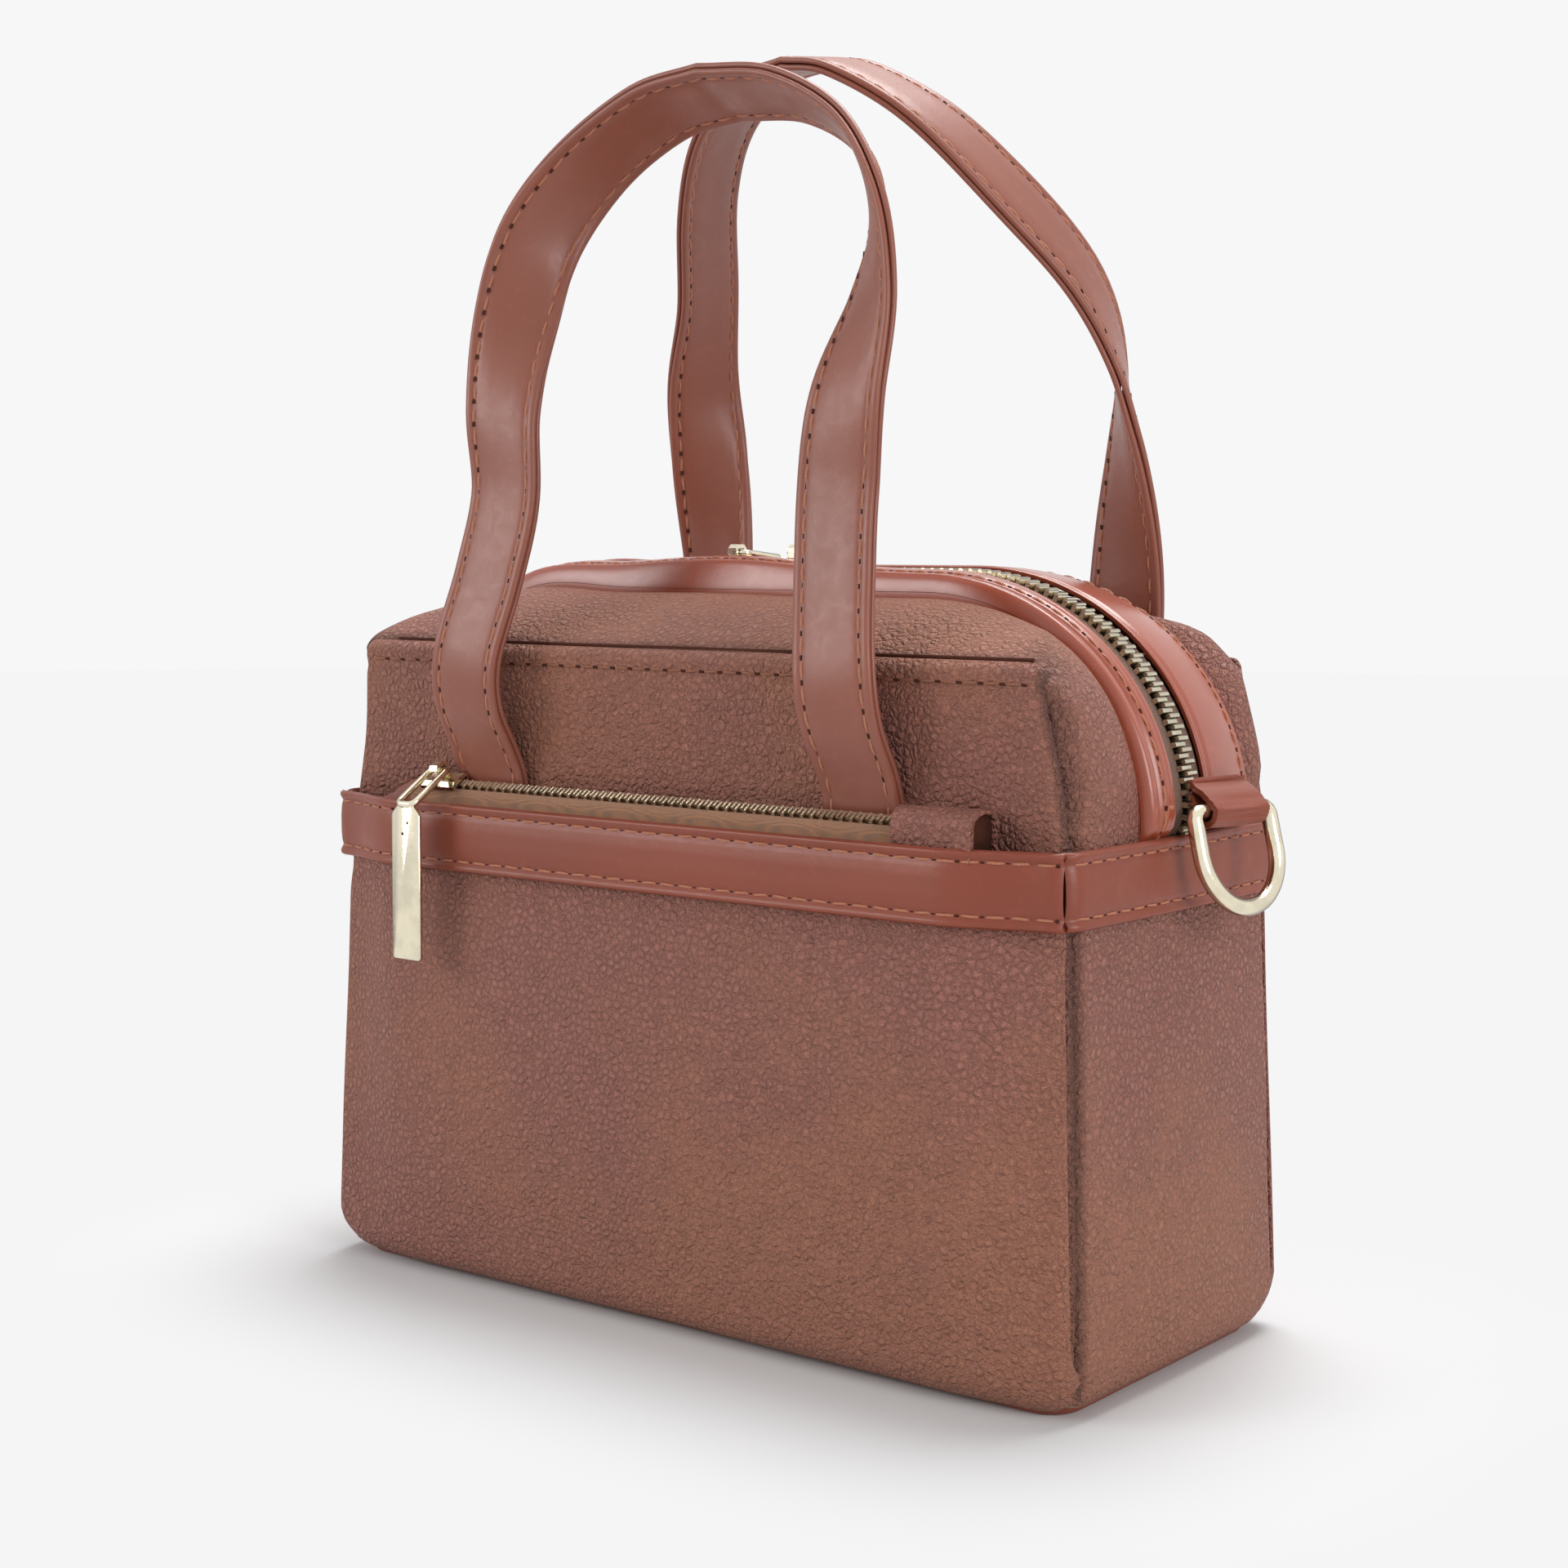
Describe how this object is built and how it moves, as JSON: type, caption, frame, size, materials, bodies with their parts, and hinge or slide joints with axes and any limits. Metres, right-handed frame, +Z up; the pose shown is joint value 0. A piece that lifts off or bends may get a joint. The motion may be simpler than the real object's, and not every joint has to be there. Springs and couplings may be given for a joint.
{
  "type": "shoulder bag",
  "caption": "Small boxy leather bag with a zipped front pocket, a zip arching over the top, strap handles on the front and back, and a ring on each side.",
  "frame": {"origin": "centre of the flat underside", "axes": "+X to the right along the front, -Y out of the front where the zipped pocket is, +Z up"},
  "size_m": [0.2418, 0.1167, 0.2913],
  "materials": {
    "pebbled_leather": "pebble-grained, dusty brown-rose",
    "smooth_leather": "smooth, slightly glossy, reddish brown",
    "zip_tape": "woven, matt, tan brown",
    "lining_cloth": "woven, matt, brown",
    "base_board": "plain stiff board",
    "pale_gold": "polished pale gold plating"
  },
  "bodies": {
    "shell": {"bottom_panel": "smooth_leather", "base_board": "base_board", "front_pocket_panel": "pebbled_leather", "front_panel": "pebbled_leather", "back_panel": "pebbled_leather", "right_side_panel": "pebbled_leather", "left_side_panel": "pebbled_leather", "main_lining": "lining_cloth", "front_band": "smooth_leather", "back_band": "smooth_leather", "right_side_band": "smooth_leather", "left_side_band": "smooth_leather", "front_shoulder": "pebbled_leather", "back_shoulder": "pebbled_leather", "front_zip_strip": "smooth_leather", "back_zip_strip": "smooth_leather", "front_zip_tape": "zip_tape", "back_zip_tape": "zip_tape", "front_zip_teeth": "pale_gold", "back_zip_teeth": "pale_gold", "pocket_front_tape": "zip_tape", "pocket_back_tape": "zip_tape", "pocket_front_teeth": "pale_gold", "pocket_back_teeth": "pale_gold", "pocket_zip_end_wrap": "pebbled_leather", "pocket_zip_start_tab": "smooth_leather", "front_handle_right_end": "smooth_leather", "front_handle_left_end": "smooth_leather", "back_handle_right_end": "smooth_leather", "back_handle_left_end": "smooth_leather", "right_ring_tab": "smooth_leather", "left_ring_tab": "smooth_leather"},
    "front_handle": {"front_handle_face": "smooth_leather", "front_handle_backing": "smooth_leather"},
    "back_handle": {"back_handle_face": "smooth_leather", "back_handle_backing": "smooth_leather"},
    "right_ring": {"right_d_ring": "pale_gold"},
    "left_ring": {"left_d_ring": "pale_gold"},
    "pocket_slider": {"pocket_slider": "pale_gold"},
    "pocket_link": {"pocket_pull_link": "pale_gold"},
    "pocket_pull": {"pocket_pull_plate": "pale_gold"},
    "left_slider": {"left_slider": "pale_gold"},
    "left_link": {"left_pull_link": "pale_gold"},
    "left_pull": {"left_pull_plate": "pale_gold"},
    "right_slider": {"right_slider": "pale_gold"},
    "right_link": {"right_pull_link": "pale_gold"},
    "right_pull": {"right_pull_plate": "pale_gold"}
  },
  "joints": [
    {"name": "front_handle_fold", "type": "hinge", "parent": "shell", "child": "front_handle", "pos_m": [0, -0.04662, 0.12834], "axis": [1, 0, 0], "range_deg": [-4.5, 78]},
    {"name": "back_handle_fold", "type": "hinge", "parent": "shell", "child": "back_handle", "pos_m": [0, 0.04988, 0.12121], "axis": [1, 0, 0], "range_deg": [-80, 2.5]},
    {"name": "right_ring_swing", "type": "hinge", "parent": "shell", "child": "right_ring", "pos_m": [0.11284, 0.0085, 0.1217], "axis": [0.2079, 0.9781, 0], "range_deg": [-140, 10]},
    {"name": "left_ring_swing", "type": "hinge", "parent": "shell", "child": "left_ring", "pos_m": [-0.11284, 0.0085, 0.1217], "axis": [-0.2079, 0.9781, 0], "range_deg": [-10, 140]},
    {"name": "pocket_slider_travel", "type": "slide", "parent": "shell", "child": "pocket_slider", "axis": [1, 0, 0], "range_m": [0, 0.125]},
    {"name": "pocket_link_tilt", "type": "hinge", "parent": "pocket_slider", "child": "pocket_link", "pos_m": [-0.066, -0.0489, 0.12382], "axis": [1, 0, 0], "range_deg": [-90, 0]},
    {"name": "pocket_pull_swing", "type": "hinge", "parent": "pocket_link", "child": "pocket_pull", "pos_m": [-0.066, -0.0598, 0.11674], "axis": [1, 0, 0], "range_deg": [-90, 6]},
    {"name": "left_slider_travel", "type": "slide", "parent": "shell", "child": "left_slider", "axis": [-1, 0, 0], "range_m": [0, 0.023]},
    {"name": "left_link_tilt", "type": "hinge", "parent": "left_slider", "child": "left_link", "pos_m": [-0.0165, 0.002, 0.1753], "axis": [1, 0, 0], "range_deg": [0, 120]},
    {"name": "left_pull_swing", "type": "hinge", "parent": "left_link", "child": "left_pull", "pos_m": [-0.0165, 0.01495, 0.17417], "axis": [1, 0, 0], "range_deg": [0, 85]},
    {"name": "right_slider_travel", "type": "slide", "parent": "shell", "child": "right_slider", "axis": [1, 0, 0], "range_m": [0, 0.038]},
    {"name": "right_link_tilt", "type": "hinge", "parent": "right_slider", "child": "right_link", "pos_m": [0.0015, 0.002, 0.1753], "axis": [1, 0, 0], "range_deg": [0, 120]},
    {"name": "right_pull_swing", "type": "hinge", "parent": "right_link", "child": "right_pull", "pos_m": [0.0015, 0.01495, 0.17417], "axis": [1, 0, 0], "range_deg": [0, 85]}
  ]
}
